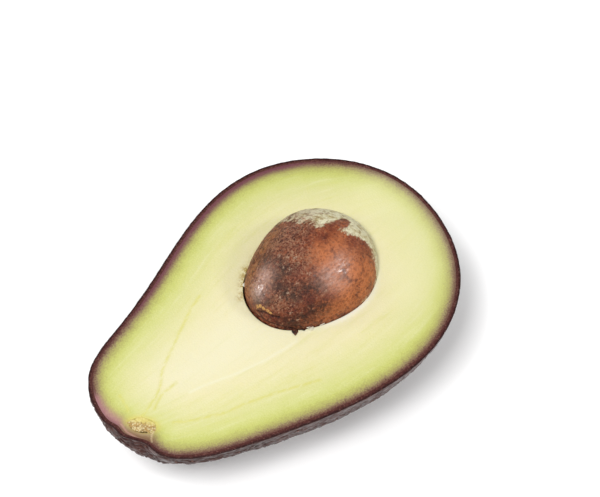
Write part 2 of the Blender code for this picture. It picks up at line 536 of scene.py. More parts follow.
def skin_points():
    """The skin's points row by row, with how far each is pushed by the pebbles, and its place in the cut."""
    t = np.linspace(0.0, math.pi, SKIN_ROWS + 1)[:, None]
    far = math.pi - CUT_ANGLE
    outer_phi = np.linspace(CUT_ANGLE, far, SKIN_COLUMNS + 1)
    inner_phi = np.linspace(far, CUT_ANGLE, INSIDE_COLUMNS + 1)
    edge_phi = np.full(len(EDGE_STEPS), far)
    phi = np.concatenate([outer_phi, edge_phi, inner_phi, math.pi - edge_phi])[None, :]
    inset = np.concatenate([0 * outer_phi, EDGE_STEPS, 0 * inner_phi + SKIN_THICK, EDGE_STEPS[::-1]])
    points = shell(t, phi, np.broadcast_to(inset, (len(t), phi.shape[1])))
    push = outward(t, phi)
    cut = np.concatenate([0 * outer_phi, 1 + 0 * EDGE_STEPS, 0 * inner_phi, 1 + 0 * EDGE_STEPS])
    first_inner = SKIN_COLUMNS + 1 + len(EDGE_STEPS)
    cut[[first_inner, first_inner + INSIDE_COLUMNS]] = 1.0
    top = face_height(points)
    level = np.broadcast_to(cut > 0.5, top.shape)
    points[..., 2] = np.where(level, top, np.minimum(points[..., 2], top - EDGE_ROUND))
    push[level, 2] = 0.0
    to_rim = np.minimum(outer_phi - CUT_ANGLE, far - outer_phi)
    calm = RIM_CALM + (1.0 - RIM_CALM) * np.clip(to_rim / RIM_REACH, 0.0, 1.0)
    fall = RIM_CALM * (1.0 - EDGE_STEPS / SKIN_THICK)
    reach = np.concatenate([calm, fall, 0 * inner_phi, fall[::-1]])
    fade = np.exp(-(t / math.pi / RIDGE_REACH) ** 2) * np.sin(t)
    ridge = RIDGE_HEIGHT * (0.5 * np.cos(2.0 * RIDGE_COUNT * phi)) * fade
    return points, {
        "push": push * reach[None, :, None], "ridge": ridge, "stem_side": fade, "edge": inset / MM,
        "cut": cut, "inner": np.where(inset > 0.99 * SKIN_THICK, 1.0, 0.0)}


skin = ring_piece("skin_peel", *skin_points())
print("smooth skin:", len(skin.data.vertices), "points")

# %% [markdown]
# ### What the cut looks like from the rim inwards
# Under the skin the flesh is first wine red and brown, then green, then yellow and cream round the
# stone. The colours run on over the join between skin and flesh, so both finishes share one ramp,
# which reads how far a point is from the rim. Fine noise blurs it, as the fibres do on the fruit.

# %% Colours of the cut, by millimetres from the rim
RIM_COLOURS = (
    (0.0, (38, 14, 12)), (0.4, (62, 28, 28)), (0.8, (92, 50, 46)), (1.2, (104, 62, 54)),
    (1.6, (128, 94, 72)), (2.1, (158, 138, 98)), (3.0, (186, 181, 104)), (4.6, (212, 216, 120)),
    (6.5, (226, 228, 146)), (9.5, (234, 232, 164)), (13.0, (242, 237, 177)),
    (17.0, (248, 240, 190)), (24.0, (251, 243, 199)))
RAMP_REACH = 26.0
print("the cut has", len(RIM_COLOURS), "colours")


def cut_colour(place, edge):
    """The colour of the cut at this many millimetres from the rim."""
    fine = grain(place, 0.00036, 2.0, 0.7) - 0.5
    slow = grain(place, 0.0032, 2.0) - 0.5
    blurred = edge + fine * (1.3 + edge * 0.55) + slow * (0.3 + edge * 0.22)
    part = blurred / RAMP_REACH
    stops = [(distance / RAMP_REACH, paint(*shade)) for distance, shade in RIM_COLOURS]
    colour = part.node("ShaderNodeValToRGB", {"stops": stops}, {0: part})
    specks = grain(place, 0.00045, 3.0, 0.7)
    band = 1.0 - rise(edge, 1.2, 2.8)
    return layers(colour, (
        (rise(specks, 0.54, 0.68) * band * 0.40, (158, 116, 104)),
        (rise(1.0 - specks, 0.54, 0.68) * band * 0.50, (54, 26, 24))))


# %% [markdown]
# ### The skin's finish
# Ripe skin is almost black, with wine red and brown clouds, and waxy enough to shine on each pebble.

# %% Finish of the skin
skin_finish, shader, place = new_finish("skin_finish", 0.30, {
    "Specular IOR Level": 0.12, "Coat Roughness": 0.12, "Coat IOR": 1.5})
clouds = grain(place, 0.009, 3.0)
mottle = grain(place, 0.0012, 3.0, 0.6)
pebble = mark(place, "pebble")
pores = 1.0 - rise(cells(place, 0.0021), 0.06, 0.16)
outside = layers(paint(62, 30, 25), (
    (rise(clouds, 0.35, 0.65), (80, 42, 34)),
    (rise(mottle, 0.45, 0.75) * 0.40, (110, 68, 56)),
    # Painted shade: the grooves between the pebbles are painted darker.
    ((1.0 - rise(pebble, 0.10, 0.80)) * 0.35, (32, 14, 12)),
    (pores * 0.5, (146, 98, 84))))
on_cut = mark(place, "cut")
feed(shader, "Base Color", mix(rise(on_cut, 0.2, 0.8), outside, cut_colour(place, mark(place, "edge"))))
wax = rise(grain(place, 0.0022, 2.0, 0.6), 0.35, 0.65)
feed(shader, "Roughness", wax * 0.20 + on_cut * 0.15 + 0.30)
polish = (rise(pebble, 0.30, 0.95) * 0.22 + 0.03) * (1.0 - wax * 0.30)
feed(shader, "Coat Weight", polish * (1.0 - rise(on_cut, 0.0, 0.5)))
feed(shader, "Normal", bump(mottle, 0.00006, 0.7))
tell_nodes(skin_finish)

# %% [markdown]
# ### Pebbles by Geometry Nodes
# The pebbles are cells of noise whose edges are grooves. Slow noise closes some of the grooves, which
# joins pebbles into short worms, as on the real skin. Every point moves along its own outward
# direction, which the shell keeps as a mark, so the cut edge only moves sideways.


# %% The tree of the pebbles
PEBBLES = {"Pebble size": 0.0017, "Pebble height": 0.00036, "Swell size": 0.006, "Swell height": 0.0005}
PEBBLE_LONG = 0.72
WOBBLE_SIZE = 0.0025
WOBBLE_SHARE = 0.9
GROOVE_WIDTH = 0.30
JOINED_SIZE = 0.0026
JOINED_SHARE = 0.75
MEAN_PEBBLE = 0.75
STEM_SWELL = 6.0


def pebble_tree(material):
    geometry, place, size, tall, swell_size, swell_tall = new_tree("skin_pebbles", PEBBLES)
    wobble = grain(place, WOBBLE_SIZE, 1.0, out="Color")
    shift = wobble.vector("SUBTRACT", {0: wobble, 1: (0.5, 0.5, 0.5)})
    shift = shift.vector("SCALE", {0: shift, 3: size * WOBBLE_SHARE})
    groove = cells(place.vector("ADD", {0: stretch(place, PEBBLE_LONG), 1: shift}), size, "DISTANCE_TO_EDGE")
    joined = rise(grain(place, JOINED_SIZE, 1.0), 0.50, 0.66)
    pebble = rise(groove, 0.0, GROOVE_WIDTH)
    pebble = pebble + joined * (1.0 - pebble) * JOINED_SHARE
    lively = swell_tall * (named(place, "stem_side") * STEM_SWELL + 1.0)
    swell = (grain(place, swell_size, 1.0) - 0.5) * lively
    height = (pebble - MEAN_PEBBLE) * tall + swell + named(place, "ridge")
    push = named(place, "push", "FLOAT_VECTOR")
    x, y, z = split(place.vector("ADD", {0: place, 1: push.vector("SCALE", {0: push, 3: height})}))
    on_floor = z.node("ShaderNodeCombineXYZ", None, {"X": x, "Y": y, "Z": z.math("MAXIMUM", z, 0.0)})
    placed = geometry.node("GeometryNodeSetPosition", None, {"Geometry": geometry, "Position": on_floor})
    kept = placed.node("GeometryNodeStoreNamedAttribute", {"data_type": "FLOAT", "domain": "POINT"}, {
        "Geometry": placed, "Name": "pebble", "Value": pebble})
    return end_tree(kept, material)


skin.data = run_tree(skin, pebble_tree(skin_finish), PEBBLES)
settle(skin, "skin")

# %% [markdown]
# ## The flesh
# The flesh is one solid, with a bowl that the stone has pressed into it. Its surface is a set of
# closed rings: up from the keel under the skin, over the rim, in across the face, and down into the
# bowl. The rings share their angles with the rim and with the stone, so both edges come out clean.

# %% The points of the flesh
FLESH_ROWS = 320
WALL_RINGS = 10
FACE_RINGS = 112
BOWL_RINGS = 14
SKIN_GAP = 0.00002
BOWL_GAP = 0.00012
GAP_LEFT = 0.00032
GAP_AZIMUTH = math.radians(165.0)
GAP_WIDTH = 0.65
OUTLINE_STEPS = 2001


def quarter(count):
    """Even angles down a quarter of a circle, without the first."""
    return np.linspace(0.0, math.pi / 2.0, count + 1)[1:]


def rim_ring(phi, inset):
    """One closed ring at this height of the wall: out along the near side and back along the far side."""
    t = np.linspace(0.0, math.pi, FLESH_ROWS + 1)
    near = shell(t, np.full_like(t, phi), np.full_like(t, inset))
    far = shell(t, np.full_like(t, math.pi - phi), np.full_like(t, inset))
    return np.concatenate([near, far[-2:0:-1]])


def girth(along, gap):
    """The stone's radius with a gap round it, from -1 to 1 along its axis, before its ends round off."""
    return (STONE_WIDTH / 2.0 + gap) * (1.0 + STONE_TAPER * along * (1.0 - along ** 2))


def bowl_radius(along):
    """The bowl's radius at a place along the stone's axis, from -1 to 1."""
    return girth(along, BOWL_GAP) * np.sqrt(1.0 - along ** 2)


def bowl_edge(angles):
    """Where the stone's outline on the face lies, in the stone's own frame, at these angles round it."""
    turn = np.linspace(-math.pi, math.pi, OUTLINE_STEPS)
    x = (STONE_LENGTH / 2.0 + BOWL_GAP) * np.cos(turn)
    y = bowl_radius(np.cos(turn)) * np.sign(np.sin(turn))
    order = np.argsort(np.arctan2(y, x))
    reach = np.interp(angles, np.arctan2(y, x)[order], np.hypot(x, y)[order], period=2.0 * math.pi)
    return np.stack([reach * np.cos(angles), reach * np.sin(angles)], axis=-1)


def turned(points, angle):
    """Points of the face turned about the origin of their own frame."""
    c, s = math.cos(angle), math.sin(angle)
    x, y = points[..., 0], points[..., 1]
    return np.stack([x * c - y * s, x * s + y * c], axis=-1)


def around(angles, middle, reach):
    """1 at an angle round the stone, falling to 0 on both sides of it."""
    return np.exp(-(np.angle(np.exp(1j * (angles - middle))) / reach) ** 2)


def flesh_rings():
    """All rings of the flesh in order, and the angle round the stone of each point in a ring."""
    inset = SKIN_THICK + SKIN_GAP
    rings = [rim_ring(phi, inset) for phi in np.linspace(math.pi / 2.0, CUT_ANGLE, WALL_RINGS + 1)]
    rim = rings[-1]
    rim[:, 2] = 0.0
    from_stone = turned(rim[:, :2] - STONE_AT, -STONE_TURN)
    angles = np.arctan2(from_stone[:, 1], from_stone[:, 0])
    edge = bowl_edge(angles)
    slack = GAP_LEFT * around(angles, GAP_AZIMUTH, GAP_WIDTH)
    wide = edge * (1.0 + slack / np.linalg.norm(edge, axis=-1))[:, None]
    cavity = np.zeros_like(rim)
    cavity[:, :2] = turned(wide, STONE_TURN) + STONE_AT
    steps = np.linspace(0.0, 1.0, FACE_RINGS + 1)[1:]
    steps = 0.5 * steps + 0.5 * (1.0 - np.cos(math.pi * steps)) / 2.0
    rings += [rim + (cavity - rim) * step for step in steps]
    for turn in quarter(BOWL_RINGS):
        flat = edge * math.cos(turn)
        along = flat[:, 0] / (STONE_LENGTH / 2.0 + BOWL_GAP)
        depth = np.sqrt(np.maximum(bowl_radius(along) ** 2 - flat[:, 1] ** 2, 0.0))
        ring = np.zeros_like(rim)
        ring[:, :2] = turned(flat + (wide - edge) * math.cos(turn) ** 2, STONE_TURN) + STONE_AT
        ring[:, 2] = -depth
        rings.append(ring)
    return np.array(rings), angles


rings, stone_angles = flesh_rings()
print("flesh rings:", rings.shape[:2])

# %% [markdown]
# ### What is marked on the face
# Pale fibres fan out from the stem, the knife left a fine line beside the stone, the wall of the
# stem's hollow is pinkish, and the skin's colour has run further into the flesh in some places. Each
# is a short line or spot given in millimetres, and the distance to it becomes a mark.
# Some of them are painted light and shade: a paler side of the knife's line, bright lines along it,
# on a ridge and a crease of the stem's hollow and on the bowl's lip, and darker paint on the hollow's
# wall and in the bowl.

# %% Marks of the face
FIBRE_LINES = (
    ((8.1, -3.1), (11.2, -2.2), (14.0, -1.0), (16.1, 0.2), (19.4, 3.5), (21.9, 5.0), (34.8, 12.1),
     (39.1, 13.6)),
    ((11.5, -3.5), (13.6, -2.4), (15.5, -1.5), (18.4, -1.4), (20.0, -1.3)),
    ((6.3, -0.2), (6.8, 1.6), (7.3, 4.7)),
    ((12.9, -9.2), (15.6, -11.1), (20.0, -13.2), (24.3, -15.2), (29.0, -16.3), (36.3, -18.7), (46.8, -22.9)))
# Each line has how far its mark reaches, in metres, and its points, in millimetres.
FACE_LINES = {
    "knife": (0.0004, (
        (49.2, -11.1), (45.8, -11.0), (40.1, -10.3), (33.4, -8.9), (24.8, -6.2), (20.8, -5.4))),
    "cream": (0.0085, ((22.0, -1.0), (34.0, -1.5), (44.0, -2.0))),
    "milky": (0.0065, ((90.0, 7.5), (91.0, 1.8), (90.0, -7.7), (85.5, -14.0), (79.0, -18.0))),
    "stain": (0.0009, ((46.1, 7.0), (47.6, 7.9), (49.6, 10.2), (52.5, 12.4))),
    "plum": (0.0070, ((28.0, 24.5), (47.1, 31.0), (65.3, 33.6), (80.0, 29.5))),
    "pink": (0.0015, ((2.3, 7.4), (1.9, 4.4), (2.4, 1.8), (2.8, -0.5))),
    "pale": (0.00022, ((2.9, -1.6), (2.8, -3.9), (3.6, -6.5), (4.3, -7.9))),
    "crease": (0.00015, ((8.6, -7.3), (7.7, -7.9), (6.8, -8.4), (6.1, -9.1), (5.7, -9.9))),
    # The hollow mark carries painted shade for the wall of the stem's hollow.
    "hollow": (0.0015, HOLLOW_LINE / MM)}
FIBRE_REACH = 0.0004
LIP_HEIGHT = 0.00034
LIP_AZIMUTH = math.radians(-90.0)
LIP_WIDTH = 0.75
LIP_REACH = 0.0008
LIP_MARK_REACH = 0.0010
STAIN_AZIMUTH = math.radians(132.0)
STAIN_WIDTH = 0.7
STAIN_REACH = 0.0007
CREAM_FADE = 5.0
YELLOW_REACH = 0.40
STRAND_STRETCH = 0.10
STRAND_SPREAD = 0.030


def near(points, line, reach):
    """1 on a line given in millimetres, falling smoothly to 0 over a reach in metres."""
    return np.exp(-(distance_to(points, np.array(line) * MM) / reach) ** 2)


def rim_distance(points):
    """How far each point of the face is from the fruit's outer rim, in metres."""
    outer = rim_ring(CUT_ANGLE, 0.0)[:, :2]
    closed = np.concatenate([outer, outer[:1]])
    start, run = closed[:-1], np.diff(closed, axis=0)
    best = []
    for ring in points[..., :2]:
        away = ring[:, None] - start
        part = np.clip((away * run).sum(-1) / np.maximum((run * run).sum(-1), 1e-12), 0.0, 1.0)
        best.append(np.linalg.norm(away - part[..., None] * run, axis=-1).min(axis=1))
    return np.array(best)


first_face = WALL_RINGS
last_face = WALL_RINGS + FACE_RINGS
face = rings[first_face:last_face + 1]
edge = np.zeros(rings.shape[:2])
edge[first_face:last_face + 1] = rim_distance(face)
edge[last_face + 1:] = edge[last_face]
from_stem = turned(rings[..., :2] - STEM_AT, -STEM_TURN) / (STEM_LENGTH / 2.0, STEM_WIDTH / 2.0)
button = np.sqrt((from_stem ** 2).sum(axis=-1))
lip = around(stone_angles, LIP_AZIMUTH, LIP_WIDTH)
to_bowl = np.linalg.norm(rings - rings[last_face], axis=-1)
height = face_height(rings) + LIP_HEIGHT * lip * np.exp(-(to_bowl / LIP_REACH) ** 2)
height = height - STEM_DEPTH * np.sqrt(np.maximum(1.0 - button ** 2, 0.0))
on_face = np.zeros(rings.shape[:2])
on_face[first_face:last_face + 1] = 1.0
on_face[last_face + 1:] = np.cos(quarter(BOWL_RINGS)[:, None]) ** 2
rings[..., 2] += height * on_face

knife = np.array(FACE_LINES["knife"][1][::-1]) * MM
over_knife = (rings[..., 1] - np.interp(rings[..., 0], knife[:, 0], knife[:, 1])) / MM
fruit_t = np.arccos(np.clip(1.0 - 2.0 * rings[..., 0] / LENGTH, -1.0, 1.0))
half = np.maximum(np.sin(fruit_t) * blend(HALF_WIDTHS, fruit_t), STEM_LENGTH / 2.0)
across = (rings[..., 1] - np.sin(fruit_t) * blend(SIDE_BEND, fruit_t)) / half
face_marks = {label: near(rings, line, reach) for label, (reach, line) in FACE_LINES.items()}
# Painted light: the face is painted paler on one side of the knife's line, for a slight tilt there.
face_marks["cream"] *= np.clip(over_knife / CREAM_FADE + 0.5, 0.0, 1.0)
face_marks["stain"] += np.exp(-to_bowl / STAIN_REACH) * around(stone_angles, STAIN_AZIMUTH, STAIN_WIDTH)
face_marks.update({
    "edge": edge / MM,
    "strands": np.stack([rings[..., 0] * STRAND_STRETCH, across * STRAND_SPREAD, rings[..., 2]], axis=-1),
    "bowl": (np.arange(len(rings)) > last_face)[:, None] * 1.0,
    "fibre": np.clip(sum(near(rings, line, FIBRE_REACH) for line in FIBRE_LINES), 0.0, 1.0),
    "yellow": np.exp(-(np.maximum(button - 1.0, 0.0) / YELLOW_REACH) ** 2),
    "lip": lip * np.exp(-(to_bowl / LIP_MARK_REACH) ** 2)})
flesh = ring_piece("ripe_flesh", rings, face_marks)
print("marks on the face:", ", ".join(face_marks))

# %% [markdown]
# ### The flesh's finish
# Ripe flesh is matt butter with a moist film, so it has a soft gloss, and light goes a little way
# into it. All changes of colour come from the marks, from the shared ramp and from noise.

# %% Finish of the flesh
flesh_finish, shader, place = new_finish("flesh_finish", 0.42, {
    "Specular IOR Level": 0.30, "Subsurface Weight": 0.10, "Subsurface Radius": (1.0, 0.75, 0.35),
    "Subsurface Scale": 0.0007})
edge_mm = mark(place, "edge")
streaks = grain(mark(place, "strands", "Vector"), 0.0016, 4.0, 0.65)
inside = rise(edge_mm, 2.5, 7.0)
plum = mark(place, "plum") * (1.0 - rise(edge_mm, 1.2, 3.6)) * (grain(place, 0.0006, 2.0, 0.6) * 0.5 + 0.6)
threads = rise(grain(stretch(place, 0.4), 0.0008, 3.0, 0.6), 0.28, 0.55)
blotches = rise(grain(place, 0.0009, 3.0, 0.7), 0.35, 0.60)
feed(shader, "Base Color", layers(cut_colour(place, edge_mm), (
    (rise(streaks, 0.50, 0.75) * inside * 0.30, (222, 222, 112)),
    (rise(1.0 - streaks, 0.50, 0.75) * inside * 0.28, (253, 248, 208)),
    # Painted light: paler flesh on one side of the knife's line.
    (mark(place, "cream") * 0.65, (252, 246, 210)),
    (mark(place, "milky") * 0.60, (248, 244, 190)),
    (plum, (122, 66, 80)),
    (mark(place, "pink") * 0.60, (200, 140, 148)),
    (mark(place, "yellow") * 0.60, (232, 212, 106)),
    (mark(place, "fibre") * threads * 0.55, (228, 222, 104)),
    # Painted highlight along the knife's line.
    (mark(place, "knife") * 0.50, (255, 252, 224)),
    (mark(place, "stain") * blotches * 0.65, (190, 160, 84)),
    # Painted shade on the wall of the stem's hollow.
    (mark(place, "hollow") * 0.80, (146, 112, 82)),
    # Painted highlights: a pale line on a ridge of the stem's hollow and a bright one along a crease.
    (mark(place, "pale") * 0.75, (214, 166, 152)),
    (mark(place, "crease") * 0.70, (236, 214, 168)),
    # Painted highlight: a white line along the raised lip at the bowl's lower edge.
    (mark(place, "lip") * 0.85, (253, 249, 234)),
    # The bowl's wall: partly the brown of torn seed coat, partly painted shade of the gap round the stone.
    (mark(place, "bowl"), (150, 104, 52)))))
feed(shader, "Roughness", grain(place, 0.0010, 2.0) * 0.25 + 0.36)
feed(shader, "Normal", bump(grain(place, 0.00045, 3.0, 0.65), 0.00010, 0.5))
tell_nodes(flesh_finish)
flesh.data.materials.append(flesh_finish)
settle(flesh, "flesh")

# %% [markdown]
# ## The stone
# The stone is an egg in a papery brown coat. The coat is mottled orange and dusky brown, pitted and
# wrinkled, and a pale film of flesh still clings to its far side. A sphere of small triangles takes
# the egg's shape, the places of the patches are angles on the egg, and Geometry Nodes raise the
# film, the wrinkles and the pits.

# %% The egg and its marks
STONE_FLATNESS = 0.93
# All places on the stone are an azimuth and a height over the cut face, in degrees.
FILM_EDGE = (
    (-90, 0), (-62, 2), (-52, 6), (-48, 15), (-43, 20), (-36, 24), (-31, 30), (-27, 37), (-23, 45), (-20, 53),
    (-14, 58), (-5, 60), (1, 49), (7, 47), (12, 56), (19, 66), (38, 69), (48, 62), (60, 63), (71, 61),
    (76, 54), (81, 48), (84, 36), (98, 20), (112, 3))
FILM_ELSEWHERE = -20.0
FILM_FADE = 12.0
THIN_FROM = 32.0
THIN_FADE = 40.0
CRACK_LINES = (
    ((-179, 10), (-172, 15), (-164, 16), (-155, 18)), ((177, 1), (-173, 4), (-164, 5), (-152, 6), (-142, 3)))
CRACK_STEPS = 7
CRACK_REACH = 1.3
# Each kind of spot has how far it reaches, in degrees, and its places.
STONE_SPOTS = {
    "orange": (20.0, (
        (-57, 75), (-39, 62), (-25, 66), (-71, 35), (-72, 22), (-70, 43), (-100, 24), (-90, 24), (-51, 31),
        (-61, 51), (-47, 48), (-77, 10), (-90, 35), (-58, 20))),
    "red": (12.0, (
        (-136, 43), (-125, 37), (-143, 29), (-129, 26), (-108, 36), (46, 74), (93, 71), (82, 83), (-30, 52),
        (-32, 38), (-157, 11), (8, 75), (6, 64), (139, 81), (-148, 16), (-153, 67))),
    "dusk": (9.5, (
        (141, 47), (157, 60), (178, 54), (-170, 48), (-176, 29), (177, 22), (-128, 52), (-144, 45),
        (-123, 28), (-132, 20), (-113, 27), (-180, 61), (-157, 46), (-118, 50), (-139, 7), (-142, 15))),
    "grey": (12.0, (
        (162, 39), (164, 29), (160, 50), (148, 48), (168, 73), (-168, 75), (169, 64), (-161, 37),
        (-152, 43), (103, 55), (92, 58), (117, 54), (110, 71), (76, 68))),
    "tan": (11.0, ((130, 37), (138, 33), (145, 25), (120, 39), (110, 42), (152, 17))),
    # These spots mark where a pale, streaked highlight is painted into the coat's colour.
    "sheen": (11.0, (
        (-96, 57), (-82, 56), (-95, 49), (-71, 57), (-89, 45), (-88, 51), (161, 44), (169, 37), (170, 27))),
    "shine": (8.0, ((-93, 53), (-84, 55), (161, 44), (170, 30))),
    "bare": (5.0, ((5, 44), (3, 50), (38, 48), (31, 46))),
    "chip": (3.6, ((179, 15), (-178, 19), (-174, 19), (-168, 20), (-165, 19))),
    "scar": (3.0, (
        (142, 62), (157, 70), (175, 75), (171, 63), (-173, 65), (-127, 65), (-146, 56), (-107, 43),
        (-161, 39), (-154, 46), (-137, 17), (-144, 26), (101, 83)))}


def on_ball(places):
    """Directions from the stone's middle to some places on it."""
    az, up = np.radians(np.array(places, dtype=float).T)
    return np.stack([np.cos(up) * np.cos(az), np.cos(up) * np.sin(az), np.sin(up)], axis=-1)


def close_to(directions, others, reach):
    """1 at the nearest of the other directions, falling to 0 over a reach in degrees."""
    angle = np.degrees(np.arccos(np.clip(directions @ others.T, -1.0, 1.0)))
    return np.exp(-(angle.min(axis=1) / reach) ** 2)


def crack_path():
    """Directions close together along both cracks."""
    runs = []
    for line in CRACK_LINES:
        knots = on_ball(line)
        runs += [np.linspace(start, stop, CRACK_STEPS) for start, stop in zip(knots, knots[1:])]
    path = np.concatenate(runs)
    return path / np.linalg.norm(path, axis=1)[:, None]


def stone_points():
    """The egg's points, its faces, and the direction of each point from the egg's middle."""
    mesh = bmesh.new()
    bmesh.ops.create_icosphere(mesh, subdivisions=7, radius=1.0)
    ball = np.array([vert.co for vert in mesh.verts])
    faces = [tuple(vert.index for vert in face.verts) for face in mesh.faces]
    mesh.free()
    along = ball[:, 0]
    wide = girth(along, 0.0)
    flat = np.stack([along * STONE_LENGTH / 2.0, ball[:, 1] * wide], axis=-1)
    up = ball[:, 2] * wide * np.where(ball[:, 2] > 0.0, STONE_FLATNESS, 1.0)
    return np.column_stack([turned(flat, STONE_TURN) + STONE_AT, up]), faces, ball


points, faces, ball = stone_points()
azimuth = np.degrees(np.arctan2(ball[:, 1], ball[:, 0]))
up = np.degrees(np.arcsin(np.clip(ball[:, 2], -1.0, 1.0)))
film_top = np.interp(azimuth, *np.array(FILM_EDGE, dtype=float).T, left=FILM_ELSEWHERE, right=FILM_ELSEWHERE)
stone_marks = {label: close_to(ball, on_ball(spots), reach) for label, (reach, spots) in STONE_SPOTS.items()}
stone_marks["crack"] = close_to(ball, crack_path(), CRACK_REACH)
stone_marks["film"] = (film_top - up) / FILM_FADE
stone_marks["thin"] = np.clip((azimuth - THIN_FROM) / THIN_FADE, 0.0, 1.0)
stone = make_piece("stone_coat", points, faces, stone_marks)
print("the egg:", len(points), "points with", len(stone_marks), "marks")

# %% [markdown]
# ### The stone's finish
# The torn edge of the film must be ragged in both its shape and its colour, so one function makes
# the edge, and the finish and the Geometry Nodes both call it.


# %% Finish of the stone
def torn_film(place, inside):
    """1 where the film covers the stone, with a ragged edge, from how far a point is inside the film."""
    ragged = (grain(stretch(place, 0.6), 0.0022, 4.0, 0.7) - 0.5) * 2.0
    feathery = (grain(stretch(place, 0.5), 0.0006, 2.0, 0.6) - 0.5) * 1.6
    return rise(inside + ragged + feathery, -0.20, 0.50)


stone_finish, shader, place = new_finish("stone_finish", 0.36, {
    "Specular IOR Level": 0.20, "Coat Roughness": 0.24, "Coat IOR": 1.8})
blots = grain(place, 0.0030, 3.0, 0.6)
medium = grain(place, 0.0012, 4.0, 0.7)
fine = rise(grain(place, 0.00040, 3.0, 0.7), 0.32, 0.68)
wander = grain(place, 0.0009, 3.0, 0.6) * 0.8
dots = 1.0 - rise(cells(place, 0.00075) + wander, 0.60, 0.98)
both = medium * 0.5 + blots * 0.5
shine = mark(place, "shine")
orange = mark(place, "orange")
grooves = rise(grain(stretch(place, 0.25), 0.00050, 3.0, 0.6), 0.30, 0.70)
speckle = grain(place, 0.00080, 3.0, 0.75)
busy = 1.0 - orange * 0.75
coat = layers(paint(106, 50, 32), (
    (rise(both, 0.38, 0.60), (170, 94, 60)),
    (orange * rise(both, 0.32, 0.52) * 0.95, (216, 128, 76)),
    (mark(place, "red") * rise(medium, 0.36, 0.52) * 0.75, (112, 34, 20)),
    (dots * (0.60 - orange * 0.25), (92, 40, 26)),
    (mark(place, "grey") * rise(fine * 0.3 + medium * 0.7, 0.38, 0.60) * 0.70, (164, 124, 96)),
    (mark(place, "tan") * rise(both, 0.36, 0.60) * 0.80, (170, 112, 62)),
    # Pale specks: partly the coat's own mottling, partly painted glints of its rough surface.
    (rise(speckle, 0.54, 0.64) * busy * 0.55, (194, 146, 112)),
    (mark(place, "dusk") * rise(medium, 0.36, 0.54) * 0.85, (46, 32, 26)),
    (rise(1.0 - speckle, 0.53, 0.62) * busy * 0.75, (50, 22, 16)),
    # Painted highlight: a pale pink sheen, streaked along the grooves, is painted over the coat.
    (mark(place, "sheen") * (grooves * 0.6 + 0.4) * 0.48, (232, 190, 172)),
    (rise(mark(place, "chip") + fine * 0.4, 0.85, 1.05), (214, 160, 96)),
    (rise(mark(place, "scar") + fine * 0.6, 1.00, 1.35) * 0.7, (190, 158, 132)),
    (mark(place, "crack") * 0.9, (36, 16, 12))))
film = torn_film(place, mark(place, "film") - mark(place, "bare") * 1.5)
film_colour = mix(rise(both, 0.38, 0.56), paint(212, 194, 138), paint(252, 246, 208))
worn = 1.0 - mark(place, "thin") * (0.85 - rise(medium, 0.40, 0.56) * 0.45)
cover = film * worn * (rise(medium, 0.34, 0.50) * 0.4 + 0.6)
feed(shader, "Base Color", mix(cover, coat, film_colour))
feed(shader, "Roughness", medium * 0.30 + 0.28 - shine * 0.16 + film * 0.15)
feed(shader, "Coat Weight", shine * (rise(grooves, 0.25, 0.75) * 0.7 + 0.3) * (1.0 - film))
relief = grooves * 0.25 + (grooves * 0.25 + fine * 0.6 - dots * 0.5) * (1.0 - shine * 0.8)
feed(shader, "Normal", bump(relief, 0.00014, 0.9))
tell_nodes(stone_finish)

# %% The tree of the stone's coat
COAT = {"Film thickness": 0.00012, "Wrinkle height": 0.00045, "Pit depth": 0.00010, "Crack depth": 0.00040}


def coat_tree(material):
    geometry, place, thick, wrinkled, pitted, cracked = new_tree("stone_coat", COAT)
    film = torn_film(place, named(place, "film") - named(place, "bare") * 1.5)
    wrinkles = grain(stretch(place, 0.6), 0.0022, 3.0, 0.6) - 0.5
    pits = 1.0 - rise(cells(place, 0.0011), 0.15, 0.55)
    height = film * thick + wrinkles * wrinkled
    height = height - pits * pitted * (1.0 - film) - named(place, "crack") * cracked
    normal = place.node("GeometryNodeInputNormal")
    return end_tree(shifted(geometry, normal.vector("SCALE", {0: normal, 3: height})), material)


stone.data = run_tree(stone, coat_tree(stone_finish), COAT)
settle(stone, "stone")

# %% [markdown]
# ## The end of the stem
# Where the stem joined the fruit, the knife went through a small button of cork. It is crumbly: cream
# lumps, brown pits between them, and a yellow side where the flesh begins.

# %% The button of cork
BUTTON_RINGS = 34
BUTTON_SIDES = 150
RAGGED_WAVES = ((2.0, 0.07), (3.0, 0.09), (5.0, 0.08), (9.0, 0.05), (14.0, 0.04), (23.0, 0.03))


def round_angles(count):
    """Even angles once round, without the last one, which is the first again."""
    return np.linspace(0.0, 2.0 * math.pi, count, endpoint=False)


def button_points():
    """Rings from the middle of the top out to the edge, then down the round underside."""
    turn = round_angles(BUTTON_SIDES)
    ragged = 1.05 + sum(wave * np.sin(count * turn + count) for count, wave in RAGGED_WAVES)
    rings = [(part * ragged, 0.0) for part in np.linspace(0.0, 1.0, BUTTON_RINGS + 1)]
    for fall in quarter(BUTTON_RINGS // 2):
        rings.append((math.cos(fall) * (1.0 + (ragged - 1.0) * math.cos(fall)), math.sin(fall)))
    points = []
    for reach, drop in rings:
        flat = np.stack([reach * np.cos(turn) * STEM_LENGTH, reach * np.sin(turn) * STEM_WIDTH], axis=-1)
        flat = turned(flat / 2.0, STEM_TURN) + STEM_AT
        points.append(np.column_stack([flat, np.full_like(turn, -drop * STEM_DEPTH)]))
    points = np.array(points)
    top = np.zeros(points.shape[:2])
    top[:BUTTON_RINGS] = 1.0
    points[..., 2] += face_height(points)
    return points, top


grid, top = button_points()
side = turned(grid[..., :2] - STEM_AT, -STEM_TURN)[..., 1] / (STEM_WIDTH / 2.0)
stem_end = ring_piece("stem_button", grid, {"top": top, "side": side})
print("the button:", len(stem_end.data.vertices), "points")

